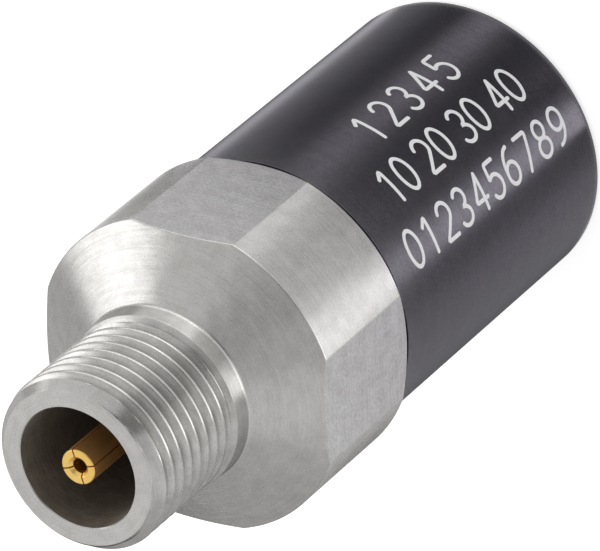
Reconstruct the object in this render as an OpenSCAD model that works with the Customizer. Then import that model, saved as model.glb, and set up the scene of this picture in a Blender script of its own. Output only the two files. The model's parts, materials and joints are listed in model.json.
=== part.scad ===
// Precision 75 ohm coaxial calibration load with a 3/8-32 socket connector.
// The load stands on the flat rear end of its sleeve, with the connector on top.
// Depths are measured from the connector's front face, down the axis towards the rear.

/* [Overall] */
// Length over all, from the front face to the rear rim of the sleeve
total_len = 38; // [34:0.5:46]
// Length of the steel head that shows ahead of the sleeve
head_len = 18; // [16:0.25:20]

/* [Connector thread] */
// Diameter over the thread crests
thread_dia = 9.42; // [8.8:0.02:10.4]
// Radial depth from the crests to the root, which is also the edge of the front ring
thread_depth = 0.525; // [0.4:0.005:0.6]
// Distance from one thread crest to the next
thread_pitch = 0.794; // [0.7:0.002:0.9]
// Number of full thread grooves, shown as plain rings
thread_turns = 7; // [6:1:8]
// Width of a thread groove at the crests
groove_w = 0.485; // [0.4:0.005:0.6]
// Width of a thread groove at its root
groove_root_w = 0.05; // [0.02:0.01:0.1]
// Length from the last full crest to the collar
run_out_len = 0.967; // [0.8:0.001:1.2]
// How far the last, lower crest stands inside the full ones
run_out_drop = 0.21; // [0.2:0.01:0.3]

/* [Collar and wrench head] */
// How far the plain collar stands proud of the thread crests
collar_rise = 0.08; // [0.02:0.01:0.4]
// Length of the plain collar
collar_len = 1.06; // [0.6:0.02:1.6]
// Width across each pair of wrench flats
flats_w = 16; // [15:0.05:18]
// How far the round of the head stands proud of the flats
head_rise = 0.5; // [0.3:0.05:0.8]
// Slope of the front cone, in degrees from the face plane
cone_slope = 30; // [20:1:40]
// Leg of the 45 degree chamfer at the rear of the head
head_chamfer = 0.55; // [0.3:0.05:0.6]

/* [Air line] */
// Bore of the outer conductor
line_bore = 6.5; // [6:0.05:6.8]
// Break of the bore's sharp front edge
bore_break = 0.05; // [0.02:0.01:0.1]
// Diameter of the centre conductor
line_rod = 1.88; // [1.8:0.02:2]
// Depth at which the air line meets its support bead
line_len = 10.8; // [10:0.1:11.2]

/* [Centre contact] */
// How far the contact tip stands below the front face
tip_recess = 0.1; // [0.05:0.05:0.4]
// Bore of the contact socket
socket_bore = 0.76; // [0.6:0.02:0.9]
// Depth of the contact socket from its tip
socket_depth = 5.5; // [5:0.1:7]
// Diameter of the socket's lead-in countersink
socket_lead = 1.1; // [1:0.02:1.3]
// Width of the slots that part the socket into four fingers
slot_w = 0.08; // [0.06:0.01:0.14]
// Length of the slots
slot_len = 4.5; // [3:0.1:5]
// Turn of the slots from the first wrench flat, in degrees
slot_turn = 18; // [0:1:89]
// Diameter of the contact's neck through the bead
neck_dia = 1.4; // [1.2:0.05:1.6]
// Diameter of the contact's threaded stub
stub_dia = 1; // [0.8:0.05:1.1]
// Length of the threaded stub
stub_len = 1.3; // [1:0.05:1.4]

/* [Support bead] */
// Length of the bead and of the ring round it
bead_len = 1.8; // [1.5:0.1:2]
// Wall of the ring round the bead
bead_ring_wall = 0.68; // [0.5:0.02:0.8]
// Height of the bead's locking rib
rib_h = 0.25; // [0.15:0.05:0.3]
// Width of the bead's locking rib
rib_w = 0.6; // [0.4:0.05:0.8]

/* [Resistor] */
// Diameter of the ceramic rod
rod_dia = 1.48; // [1.4:0.02:1.56]
// Length of the rod held in the rear conductor
rod_grip = 1.8; // [1.4:0.1:2]
// Length of the conductor between the bead and the resistive film
rear_rod_len = 4.4; // [4:0.1:4.6]
// Length of the rod inside its rear cap
cap_grip = 1.6; // [1.4:0.1:2]
// Thickness of the rear cap's end
cap_end = 0.4; // [0.3:0.05:0.6]

/* [Tapered outer conductor] */
// Bore of the main chamber in the head
chamber_bore = 9.2; // [9:0.05:9.6]
// Bore of the taper at its small end
taper_small = 2.3; // [2.2:0.05:2.8]
// Length from the end of the taper back to the edge of the film
taper_lap = 0.4; // [0.2:0.05:0.8]

/* [Ground clamp] */
// Thickness of the collet's flange
collet_flange = 1; // [0.8:0.1:1.4]
// Diameter of the collet's fingers
collet_dia = 4.8; // [4:0.1:5]
// Length of the collet's fingers
collet_len = 2.6; // [2.4:0.1:3]
// Radial depth of the relief behind the collet's grip
collet_relief = 0.3; // [0.1:0.05:0.5]
// Width of the slots between the collet's fingers
collet_slot = 0.25; // [0.15:0.05:0.4]
// Number of the collet's fingers
fingers = 6; // [4:2:8]
// Thickness of the thrust ring
thrust_t = 1; // [0.8:0.1:1.2]
// Sheet thickness of the disc spring
spring_t = 0.4; // [0.3:0.05:0.5]
// Free height of the disc spring's cone
spring_cone = 0.5; // [0.3:0.05:0.6]
// Thickness of the clamp nut
nut_t = 2; // [1.8:0.1:2.4]
// Thickness of the jam nut
jam_t = 1.4; // [1.2:0.1:1.8]
// Width of the screwdriver slots in the nuts
driver_w = 1; // [0.8:0.1:1.4]
// Depth of the screwdriver slots in the nuts
driver_d = 0.6; // [0.4:0.1:0.7]
// Diameter of the screw that sets the pad
pad_screw_dia = 2.9; // [2.4:0.1:3.2]
// Length of the screw that sets the pad
pad_screw_len = 1.5; // [1.3:0.1:1.8]
// How far the screw's front stands behind the recess in the clamp nut
screw_inset = 0.1; // [0:0.05:0.3]
// Diameter of the soft pad
pad_dia = 1.8; // [1.4:0.05:1.85]
// Thickness of the disc that closes the chamber
dust_t = 0.5; // [0.3:0.1:0.8]
// How far the tail of the head stands past the closing disc
tail_lip = 0.2; // [0.1:0.05:0.4]

/* [Sleeve and plug] */
// How far the sleeve stands inside the wrench flats
sleeve_step = 0.05; // [0.02:0.01:0.2]
// Gap between the head and the sleeve
sleeve_gap = 0.05; // [0.02:0.01:0.1]
// Wall of the sleeve outside the spigot that it screws onto
spigot_wall = 1.35; // [1.25:0.05:1.5]
// Length of the spigot behind the head
spigot_len = 5; // [4:0.25:6]
// How far the tail inside the sleeve stands below the spigot
tail_step = 0.6; // [0.2:0.05:0.8]
// Wall of the sleeve outside the seal ring
seal_wall = 1.05; // [0.95:0.05:1.15]
// Length of the bore over the seal ring
seal_bore_len = 2.25; // [2:0.05:2.6]
// Wall of the sleeve outside the rear plug
plug_wall = 1; // [0.9:0.05:1.1]
// Thickness of the rear plug
plug_t = 2.6; // [2.4:0.1:3]
// How far the plug stands inside the rear rim
plug_inset = 0.2; // [0.1:0.05:0.4]
// Free space between the tail and the plug
end_space = 2.2; // [1:0.1:3]
// Chamfer on the rear outer edge of the sleeve
sleeve_chamfer = 0.3; // [0.2:0.05:0.5]
// Chamfer on the front outer edge of the sleeve
sleeve_break = 0.1; // [0.05:0.05:0.2]
// Width of the coin slot in the plug
coin_slot_w = 1.2; // [1:0.1:1.6]
// Length of the coin slot
coin_slot_len = 9; // [7:0.5:10]
// Depth of the coin slot
coin_slot_depth = 1; // [0.6:0.1:1.2]

/* [Seal rings] */
// Thickness of the seal rings' section
seal_t = 0.98; // [0.9:0.02:1]
// Free space on each side of a seal ring in its groove
seal_side = 0.11; // [0.05:0.01:0.2]
// Distance from the rear of the head to the middle of the seal ring's groove
seal_back = 1.3; // [1.1:0.05:1.5]

/* [Clearances] */
// Radial clearance of pieces that slide or screw together
fit_gap = 0.02; // [0.01:0.005:0.03]
// Radial clearance round a seal ring
seal_gap = 0.01; // [0.005:0.005:0.02]
// How far the bead ring stands proud of its seat, to be clamped
bead_proud = 0.02; // [0.01:0.005:0.04]
// Radial clearance of the fixed pieces round the collet
collet_gap = 0.2; // [0.15:0.05:0.3]

/* [Hidden] */

turned_fn = 96;
fine_fn = 48;
seal_fn = 32;
horn_steps = 12;
cut = 1;

thread_r = thread_dia / 2;
root_r = thread_r - thread_depth;
collar_r = thread_r + collar_rise;
flat_r = flats_w / 2;
head_r = flat_r + head_rise;
sleeve_r = flat_r - sleeve_step;
spigot_r = sleeve_r - spigot_wall;
tail_r = spigot_r - tail_step;
seal_bore_r = sleeve_r - seal_wall;
plug_bore_r = sleeve_r - plug_wall;
line_r = line_bore / 2;
rod_r = line_rod / 2;
chamber_r = chamber_bore / 2;
inner_r = chamber_r - fit_gap;

thread_end = thread_depth + thread_turns * thread_pitch;
groove_flank = (groove_w - groove_root_w) / 2;
low_crest_r = thread_r - run_out_drop;
collar_at = thread_end + run_out_len;
cone_at = collar_at + collar_len;
cone_end = cone_at + (head_r - collar_r) * tan(cone_slope);
spigot_end = head_len + spigot_len;

bead_r = line_r;
bead_ring_r = line_r + bead_ring_wall;
bead_end = line_len + bead_len;
rib_at = line_len + (bead_len - rib_w) / 2;

plug_end = total_len - plug_inset;
plug_at = plug_end - plug_t;
plug_seal_at = plug_at + plug_t / 2;
plug_r = plug_bore_r - fit_gap;

tail_end = plug_at - end_space;
dust_end = tail_end - tail_lip;
jam_end = dust_end - dust_t;
nut_end = jam_end - jam_t;
spring_end = nut_end - nut_t;
thrust_end = spring_end - spring_t - spring_cone;
flange_end = thrust_end - thrust_t;
horn_end = flange_end - collet_flange;

film_at = bead_end + rear_rod_len;
film_end = horn_end + taper_lap;
rod_at = film_at - rod_grip;
rod_end = film_end + cap_grip;
cap_back = rod_end + cap_end;

collet_r = collet_dia / 2;
clear_r = collet_r + collet_gap;
collet_end = flange_end + collet_len;
nut_floor = collet_end + collet_gap;
screw_at = nut_floor + screw_inset;
screw_end = screw_at + pad_screw_len;
pad_screw_r = pad_screw_dia / 2;

seal_r = seal_t / 2;
body_seal_at = head_len + seal_back;
body_seal_r = seal_bore_r - seal_gap - seal_r;
plug_seal_r = plug_bore_r - seal_gap - seal_r;
groove_half = seal_r + seal_side;

// Round solid about the axis, from an outline of [radius, depth] points
module turned(outline, detail = turned_fn) {
    rotate_extrude($fn = detail)
        polygon([for (p = outline) [p[0], total_len - p[1]]]);
}

// Plain ring or disc about the axis, between two depths
module ring(outer, inner, from, to, detail = turned_fn) {
    turned([[inner, from], [outer, from], [outer, to], [inner, to]], detail);
}

// Seal ring of round section, with its middle at a given radius and depth
module seal(radius, depth) {
    translate([0, 0, total_len - depth])
        rotate_extrude($fn = turned_fn)
            translate([radius, 0]) circle(r = seal_r, $fn = seal_fn);
}

// Straight slot across the axis, from one depth to another
module cross_slot(width, length, from, to) {
    translate([-length / 2, -width / 2, total_len - to])
        cube([length, width, to - from]);
}

// Length along the axis over which a thread flank rises by a given height
function rise(height) = groove_flank * height / thread_depth;

// Outline of the thread from the end of the lead chamfer to the collar.
// The grooves are rings, and the last one is followed by a lower crest.
function thread_outline() = concat(
    [for (i = [0:thread_turns - 1])
        let (at = thread_depth + i * thread_pitch)
        for (p = [[thread_r, 0], [root_r, groove_flank], [root_r, groove_flank + groove_root_w],
                [thread_r, groove_w]])
            [p[0], p[1] + at]],
    [
        [thread_r, thread_end], [root_r, thread_end + groove_flank],
        [root_r, thread_end + groove_flank + groove_root_w],
        [low_crest_r, thread_end + groove_w - rise(run_out_drop)],
        [low_crest_r, collar_at - rise(collar_r - low_crest_r)], [collar_r, collar_at]
    ]
);

// Steel body: threaded nose, collar, cone, wrench head, spigot and tail
module connector_body() {
    seal_groove_r = body_seal_r - seal_r - seal_gap;
    color("silver")
    difference() {
        turned(concat([[line_r + bore_break, 0], [root_r, 0]], thread_outline(), [
            [collar_r, cone_at], [head_r, cone_end],
            [head_r, head_len - head_chamfer], [head_r - head_chamfer, head_len],
            [spigot_r, head_len], [spigot_r, body_seal_at - groove_half],
            [seal_groove_r, body_seal_at - groove_half], [seal_groove_r, body_seal_at + groove_half],
            [spigot_r, body_seal_at + groove_half], [spigot_r, spigot_end],
            [tail_r, spigot_end], [tail_r, tail_end], [chamber_r, tail_end],
            [chamber_r, bead_end - bead_proud], [bead_ring_r, bead_end - bead_proud],
            [bead_ring_r, line_len], [line_r, line_len], [line_r, bore_break]
        ]));
        for (turn = [0:90:270])
            rotate([0, 0, turn])
                translate([flat_r, -head_r, total_len - head_len - cut])
                    cube([head_r, 2 * head_r, head_len - collar_at + cut]);
    }
}

// Gold-plated contact: slotted socket, rod, neck for the bead and threaded stub
module centre_contact() {
    tip = tip_recess;
    lead = (socket_lead - socket_bore) / 2;
    color("gold")
    difference() {
        turned([
            [socket_lead / 2, tip], [rod_r, tip], [rod_r, line_len],
            [neck_dia / 2, line_len], [neck_dia / 2, bead_end], [stub_dia / 2, bead_end],
            [stub_dia / 2, bead_end + stub_len], [0, bead_end + stub_len],
            [0, tip + socket_depth], [socket_bore / 2, tip + socket_depth],
            [socket_bore / 2, tip + lead]
        ], fine_fn);
        for (turn = [0, 90])
            rotate([0, 0, slot_turn + turn])
                cross_slot(slot_w, line_rod + cut, tip - cut, tip + slot_len);
    }
}

// Ring pressed round the bead, with a groove for the bead's rib
module bead_ring() {
    outer = bead_ring_r - fit_gap;
    groove_r = bead_r + rib_h;
    color("goldenrod")
    turned([
        [bead_r, line_len], [outer, line_len], [outer, bead_end], [bead_r, bead_end],
        [bead_r, rib_at + rib_w], [groove_r, rib_at + rib_w], [groove_r, rib_at],
        [bead_r, rib_at]
    ]);
}

// Insulating bead that carries the centre contact
module support_bead() {
    outer = bead_r - fit_gap;
    rib_r = outer + rib_h;
    inner = neck_dia / 2 + fit_gap;
    color("ivory")
    turned([
        [inner, line_len], [outer, line_len], [outer, rib_at + fit_gap],
        [rib_r, rib_at + fit_gap], [rib_r, rib_at + rib_w - fit_gap],
        [outer, rib_at + rib_w - fit_gap], [outer, bead_end], [inner, bead_end]
    ]);
}

// Conductor between the bead and the resistor, screwed onto the contact's stub
module rear_conductor() {
    stub_r = stub_dia / 2 + fit_gap;
    stub_floor = bead_end + stub_len + fit_gap;
    grip_r = rod_dia / 2 + fit_gap;
    color("gold")
    turned([
        [stub_r, bead_end], [rod_r, bead_end], [rod_r, film_at], [grip_r, film_at],
        [grip_r, rod_at], [0, rod_at], [0, stub_floor], [stub_r, stub_floor]
    ], fine_fn);
}

// Ceramic rod with a resistive film
module resistor_rod() {
    color("dimgray")
    translate([0, 0, total_len - rod_end])
        cylinder(h = rod_end - rod_at, d = rod_dia, $fn = fine_fn);
}

// Metal cap on the rear end of the rod
module rear_cap() {
    grip_r = rod_dia / 2 + fit_gap;
    color("gold")
    turned([
        [grip_r, film_end], [rod_r, film_end], [rod_r, cap_back], [0, cap_back],
        [0, rod_end], [grip_r, rod_end]
    ], fine_fn);
}

// Outer conductor whose bore narrows round the resistive film.
// Radius falls as a power of the way along, so the ratio to the rod falls evenly.
module taper_horn() {
    small_r = taper_small / 2;
    color("goldenrod")
    turned(concat(
        [[inner_r, bead_end], [inner_r, horn_end]],
        [for (i = [horn_steps:-1:0])
            let (part = i / horn_steps)
            [line_r * pow(small_r / line_r, part), film_at + (horn_end - film_at) * part]],
        [[line_r, bead_end]]
    ));
}

// Flanged collet whose fingers grip the rear cap and ground it
module ground_collet() {
    grip_r = rod_r + fit_gap;
    relief_r = grip_r + collet_relief;
    relief_at = cap_back + collet_gap;
    color("gold")
    difference() {
        turned([
            [grip_r, horn_end], [inner_r, horn_end], [inner_r, flange_end],
            [collet_r, flange_end], [collet_r, collet_end], [relief_r, collet_end],
            [relief_r, relief_at], [grip_r, relief_at]
        ]);
        for (i = [0:fingers / 2 - 1])
            rotate([0, 0, i * 360 / fingers])
                cross_slot(collet_slot, collet_dia + cut, flange_end + collet_gap, collet_end + cut);
    }
}

// Steel ring between the collet's flange and the spring
module thrust_ring() {
    color("silver")
    ring(inner_r, clear_r, flange_end, thrust_end);
}

// Conical spring washer that keeps the stack under load
module disc_spring() {
    color("slategray")
    turned([
        [clear_r, thrust_end], [inner_r, thrust_end + spring_cone],
        [inner_r, thrust_end + spring_cone + spring_t], [clear_r, thrust_end + spring_t]
    ]);
}

// Threaded nut that loads the spring, with a tapped hole for the pad's screw
module clamp_nut() {
    tapped_r = pad_screw_r + fit_gap;
    color("goldenrod")
    difference() {
        turned([
            [clear_r, spring_end], [inner_r, spring_end], [inner_r, nut_end],
            [tapped_r, nut_end], [tapped_r, nut_floor], [clear_r, nut_floor]
        ]);
        cross_slot(driver_w, chamber_bore + cut, nut_end - driver_d, nut_end + cut);
    }
}

// Second nut that locks the first
module jam_nut() {
    color("goldenrod")
    difference() {
        ring(inner_r, pad_screw_r + collet_gap, nut_end, jam_end);
        rotate([0, 0, 90])
            cross_slot(driver_w, chamber_bore + cut, jam_end - driver_d, jam_end + cut);
    }
}

// Soft pad that keeps the resistor seated
module push_pad() {
    color("darkred")
    translate([0, 0, total_len - screw_at])
        cylinder(h = screw_at - cap_back, d = pad_dia, $fn = fine_fn);
}

// Slotted screw behind the pad
module pad_screw() {
    color("silver")
    difference() {
        ring(pad_screw_r, 0, screw_at, screw_end, fine_fn);
        cross_slot(driver_w / 2, pad_screw_dia + cut, screw_end - driver_d, screw_end + cut);
    }
}

// Thin disc that closes the chamber
module dust_disc() {
    color("lightgray")
    ring(inner_r, 0, jam_end, dust_end);
}

// Seal ring between the spigot and the sleeve
module body_seal() {
    color("black")
    seal(body_seal_r, body_seal_at);
}

// Black sleeve, screwed onto the spigot
module sleeve() {
    front = head_len + sleeve_gap;
    thread_bore_r = spigot_r + fit_gap;
    thread_at = front + seal_bore_len;
    color("#2c2b2f")
    turned([
        [seal_bore_r, front], [sleeve_r - sleeve_break, front],
        [sleeve_r, front + sleeve_break], [sleeve_r, total_len - sleeve_chamfer],
        [sleeve_r - sleeve_chamfer, total_len], [plug_bore_r, total_len],
        [plug_bore_r, plug_at], [thread_bore_r, plug_at],
        [thread_bore_r, thread_at], [seal_bore_r, thread_at]
    ]);
}

// Rear plug with a seal groove and a coin slot
module end_plug() {
    groove_r = plug_seal_r - seal_r - seal_gap;
    color("#2c2b2f")
    difference() {
        turned([
            [0, plug_at], [plug_r, plug_at], [plug_r, plug_seal_at - groove_half],
            [groove_r, plug_seal_at - groove_half], [groove_r, plug_seal_at + groove_half],
            [plug_r, plug_seal_at + groove_half], [plug_r, plug_end], [0, plug_end]
        ]);
        cross_slot(coin_slot_w, coin_slot_len, plug_end - coin_slot_depth, plug_end + cut);
    }
}

// Seal ring round the rear plug
module plug_seal() {
    color("black")
    seal(plug_seal_r, plug_seal_at);
}

connector_body();
centre_contact();
bead_ring();
support_bead();
rear_conductor();
resistor_rod();
rear_cap();
taper_horn();
ground_collet();
thrust_ring();
disc_spring();
clamp_nut();
jam_nut();
push_pad();
pad_screw();
dust_disc();
body_seal();
sleeve();
end_plug();
plug_seal();
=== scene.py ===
"""Looks of a coaxial calibration load: turned steel head, black sleeve and gold contact.

Every class keeps its lengths in millimetres and its angles in degrees, and MM turns lengths into the
frame's metres. A depth is measured from the connector's front face down the axis, as in the part's source.
"""
import json
import logging
from dataclasses import dataclass
from enum import Enum

import bmesh
import bpy
import numpy as np
from mathutils import Matrix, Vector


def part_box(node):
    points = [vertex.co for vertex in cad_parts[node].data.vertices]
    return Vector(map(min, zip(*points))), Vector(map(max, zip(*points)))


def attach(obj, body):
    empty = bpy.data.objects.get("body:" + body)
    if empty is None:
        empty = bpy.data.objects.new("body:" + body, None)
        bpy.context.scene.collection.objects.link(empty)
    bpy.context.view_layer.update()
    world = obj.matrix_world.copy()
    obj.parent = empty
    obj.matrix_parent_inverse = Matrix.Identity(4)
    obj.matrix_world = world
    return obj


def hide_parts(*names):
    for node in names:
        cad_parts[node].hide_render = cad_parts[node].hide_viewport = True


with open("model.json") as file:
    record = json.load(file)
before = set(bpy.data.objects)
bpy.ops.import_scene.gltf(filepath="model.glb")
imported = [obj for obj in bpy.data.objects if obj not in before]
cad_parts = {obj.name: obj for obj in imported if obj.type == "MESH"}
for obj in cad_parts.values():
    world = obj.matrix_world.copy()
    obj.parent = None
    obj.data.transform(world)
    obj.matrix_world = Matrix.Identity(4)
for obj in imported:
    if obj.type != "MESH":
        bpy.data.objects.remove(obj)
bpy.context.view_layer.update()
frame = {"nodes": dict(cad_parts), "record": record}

Colour = tuple[float, float, float]
Material = bpy.types.Material
Node = bpy.types.Node
Piece = bpy.types.Object
Socket = bpy.types.NodeSocket
Tree = bpy.types.NodeTree
Groups = dict[str, Tree]
Value = float | Colour | Socket

LOG = logging.getLogger("calibration_load")
MM = 0.001
BODY = "root"
LENGTH = (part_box("connector_body")[1].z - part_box("sleeve")[0].z) / MM
SCREW_GAP = 0.02
SEAL_GAP = 0.01
WELD_DISTANCE = 2e-4
SURFACE_MAP = "surface"
QUARTER_TURN = 0.25


# Places from the frame

def outer_radius(node: str) -> float:
    """Distance of a node's outermost face from the axis."""
    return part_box(node)[1].x / MM


def end_depths(node: str) -> tuple[float, float]:
    """Depths of a node's front and rear ends."""
    low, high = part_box(node)
    return LENGTH - high.z / MM, LENGTH - low.z / MM


# Surfaces on a grid

def polar(radius: np.ndarray, depth: np.ndarray, angle: np.ndarray) -> np.ndarray:
    """Points in millimetres: x = r cos a, y = r sin a, z = length - depth.

    Args:
        radius: Distance from the axis.
        depth: Distance behind the front face.
        angle: Angle about the axis, from +X towards +Y.

    Returns:
        An array with one more axis than the inputs, which holds x, y and z.
    """
    radius, depth, turn = np.broadcast_arrays(radius, depth, np.radians(angle))
    return np.stack([radius * np.cos(turn), radius * np.sin(turn), LENGTH - depth], -1)


def round_corners(
    corners: np.ndarray, radii: list[float], steps: int = 5, guard: float = 0.03,
) -> np.ndarray:
    """Rounds the corners of an outline, one outline for each column of the grid.

    A corner P between the neighbours A and B becomes the quadratic curve
    (1-t)^2 P1 + 2t(1-t) P + t^2 P2, where P1 and P2 lie the corner's radius away from P along its two
    sides. A guard point beyond each end keeps the smooth shading of the curve out of the long faces.

    Args:
        corners: Outline points, of shape (corners, columns, 2).
        radii: Radius of each corner, with 0 for a sharp one.
        steps: Points on each rounded corner.
        guard: Distance of the guard points from the curve.

    Returns:
        The rounded outline, of shape (points, columns, 2).
    """
    # Greatest share of a side that a corner takes up, without and with its guard point
    corner_share, guard_share = 0.4, 0.45
    rows = []
    for i, radius in enumerate(radii):
        point = corners[i]
        if radius <= 0 or i in (0, len(radii) - 1):
            rows.append(point[None])
            continue
        ends = []
        for other in (corners[i - 1], corners[i + 1]):
            side = other - point
            length = np.linalg.norm(side, axis=-1, keepdims=True)
            side = side / np.maximum(length, 1e-9)
            reach = np.minimum(radius, corner_share * length)
            guard_reach = np.minimum(reach + guard, guard_share * length)
            ends.append((point + side * reach, point + side * guard_reach))
        (first, first_guard), (last, last_guard) = ends
        t = np.linspace(0, 1, steps)[:, None, None]
        curve = (1 - t) ** 2 * first + 2 * t * (1 - t) * point + t**2 * last
        rows += [first_guard[None], curve, last_guard[None]]
    return np.concatenate(rows)


def outline(points: list[tuple], columns: int = 1, steps: int = 5, guard: float = 0.03) -> np.ndarray:
    """Outline of a turned piece with its corners rounded.

    Args:
        points: Radius, depth and corner radius of each corner. The first two may vary between columns.
        columns: Number of columns.
        steps: Points on each rounded corner.
        guard: Distance of the guard points from a corner's curve.

    Returns:
        Radius and depth of each point, of shape (points, columns, 2).
    """
    even = np.ones(columns)
    corners = np.array([[radius * even, depth * even] for radius, depth, _ in points])
    return round_corners(np.moveaxis(corners, 1, 2), [corner for _, _, corner in points], steps, guard)


class Shell:
    """A mesh in the making, put together from grids and flat caps in millimetres."""

    def __init__(self) -> None:
        """Starts with no points."""
        self.points: list[np.ndarray] = []
        self.corner_uv: list[np.ndarray] = []
        self.faces: list[list[int]] = []
        self.count = 0

    def add_grid(self, points: np.ndarray) -> None:
        """Adds a grid of quads, with u running along the columns and v along the rows.

        Args:
            points: Grid of shape (rows, columns, 3).
        """
        rows, columns = points.shape[:2]
        i, j = np.meshgrid(np.arange(rows - 1), np.arange(columns - 1), indexing="ij")
        corner = i * columns + j
        quads = np.stack([corner, corner + 1, corner + columns + 1, corner + columns], -1).reshape(-1, 4)
        uv = np.stack(np.meshgrid(np.linspace(0, 1, columns), np.linspace(0, 1, rows)), -1).reshape(-1, 2)
        self.corner_uv.append(uv[quads].reshape(-1, 2))
        self.faces += (quads + self.count).tolist()
        self.points.append(points.reshape(-1, 3))
        self.count += rows * columns

    def add_turned(self, profile: np.ndarray, angles: np.ndarray) -> None:
        """Carries an outline of radius and depth round the axis, through the given angles."""
        self.add_grid(polar(profile[..., 0], profile[..., 1], angles[None]))

    def add_cap(self, loop: np.ndarray) -> None:
        """Closes a flat opening with one face.

        Args:
            loop: Points round the opening, of shape (points, 3).
        """
        self.faces.append(list(range(self.count, self.count + len(loop))))
        self.points.append(loop)
        self.corner_uv.append(np.zeros((len(loop), 2)))
        self.count += len(loop)

    def build(self, name: str, materials: list[Material], sharp: float = 28.0, closed: bool = True) -> Piece:
        """Welds the grids into one mesh with its faces outwards.

        Args:
            name: Name of the piece.
            materials: Its materials, the first of which covers it all.
            sharp: Edges that turn by more than this stay sharp.
            closed: Whether the mesh encloses a volume, which then decides which way its faces point.

        Returns:
            The new object, at the origin.
        """
        mesh = bpy.data.meshes.new(name)
        mesh.from_pydata(np.concatenate(self.points) * MM, [], self.faces)
        layer = mesh.uv_layers.new(name=SURFACE_MAP)
        layer.data.foreach_set("uv", np.concatenate(self.corner_uv).astype(np.float32).ravel())
        work = bmesh.new()
        work.from_mesh(mesh)
        bmesh.ops.remove_doubles(work, verts=work.verts, dist=WELD_DISTANCE * MM)
        if closed:
            bmesh.ops.recalc_face_normals(work, faces=work.faces)
            if work.calc_volume(signed=True) < 0:
                bmesh.ops.reverse_faces(work, faces=work.faces)
        work.to_mesh(mesh)
        work.free()
        mesh.polygons.foreach_set("use_smooth", np.ones(len(mesh.polygons), bool))
        mesh.set_sharp_from_angle(angle=np.radians(sharp))
        for material in materials:
            mesh.materials.append(material)
        piece = bpy.data.objects.new(name, mesh)
        bpy.context.scene.collection.objects.link(piece)
        return piece


def face_places(piece: Piece) -> tuple[np.ndarray, np.ndarray, np.ndarray]:
    """Where the centres of a piece's faces lie.

    Args:
        piece: The piece.

    Returns:
        Their radius, their depth, and the greater of their distances from the two upright middle planes.
    """
    centres = np.empty(len(piece.data.polygons) * 3, np.float32)
    piece.data.polygons.foreach_get("center", centres)
    x, y, z = centres.reshape(-1, 3).T / MM
    return np.hypot(x, y), LENGTH - z, np.maximum(np.abs(x), np.abs(y))


def set_materials(piece: Piece, index: np.ndarray) -> None:
    """Gives each face the material of that number."""
    piece.data.polygons.foreach_set("material_index", index.astype(np.int32))


def place(piece: Piece, node: str = "") -> Piece:
    """Makes a piece ride on the load.

    Args:
        piece: The piece.
        node: Node that it replaces, if any.

    Returns:
        The piece.
    """
    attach(piece, BODY)
    if node:
        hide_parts(node)
    LOG.info("%s: %d faces", piece.name, len(piece.data.polygons))
    return piece


# Shader parts

def feed(tree: Tree, node: Node, inputs: dict[str | int, Value]) -> None:
    """Fills a node's inputs.

    Args:
        tree: The material or group that the node is in.
        node: The node.
        inputs: A socket to link, or a number or colour to set, for each input's name or index.
    """
    for name, value in inputs.items():
        socket = node.inputs[name]
        if isinstance(value, Socket):
            tree.links.new(value, socket)
        else:
            socket.default_value = (*value, 1.0) if socket.type == "RGBA" else value


def add_node(tree: Tree, kind: str, inputs: dict[str | int, Value], **options) -> Node:
    """Adds a node.

    Args:
        tree: The material or group.
        kind: The node's type.
        inputs: What its inputs get, as for feed.
        **options: The node's own properties.

    Returns:
        The node.
    """
    node = tree.nodes.new(kind)
    for name, option in options.items():
        setattr(node, name, option)
    feed(tree, node, inputs)
    return node


def math_node(tree: Tree, operation: str, *values: Value) -> Socket:
    """Output of a Math node whose inputs are numbers or sockets."""
    return add_node(tree, "ShaderNodeMath", dict(enumerate(values)), operation=operation).outputs[0]


def mix_colour(tree: Tree, factor: Socket, first: Value, second: Value) -> Socket:
    """Colour that goes from the first to the second with the factor; inputs 6 and 7 take the two."""
    return add_node(tree, "ShaderNodeMix", {0: factor, 6: first, 7: second}, data_type="RGBA").outputs[2]


def soft_step(tree: Tree, value: Socket, span: tuple[float, float], low: Value, high: Value) -> Socket:
    """Runs smoothly from low to high, numbers or sockets, while a value crosses a span."""
    inputs = {"Value": value, "From Min": span[0], "From Max": span[1], "To Min": low, "To Max": high}
    return add_node(tree, "ShaderNodeMapRange", inputs, interpolation_type="SMOOTHSTEP").outputs[0]


def noise_node(tree: Tree, vector: Socket, detail: float) -> Socket:
    """Value of a three-dimensional noise on a vector, with one cell to the unit."""
    inputs = {"Vector": vector, "Scale": 1.0, "Detail": detail}
    return add_node(tree, "ShaderNodeTexNoise", inputs).outputs["Fac"]


def centred_sum(tree: Tree, centre: float, parts: list[tuple[Socket, float]]) -> Socket:
    """Weighted sum of noises about a centre: centre + the sum of weight * (noise - 1/2).

    Args:
        tree: The material.
        centre: The sum's mean.
        parts: Each noise, which has the mean 1/2, with its weight.

    Returns:
        The sum.
    """
    total = centre - sum(weight for _, weight in parts) / 2
    for noise, weight in parts:
        total = math_node(tree, "MULTIPLY_ADD", noise, weight, total)
    return total


def bump(tree: Tree, height: Socket, distance: float) -> Socket:
    """Normal of a surface with the given height pattern, times a distance in millimetres."""
    inputs = {"Height": height, "Distance": distance * MM}
    return add_node(tree, "ShaderNodeBump", inputs).outputs["Normal"]


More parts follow.
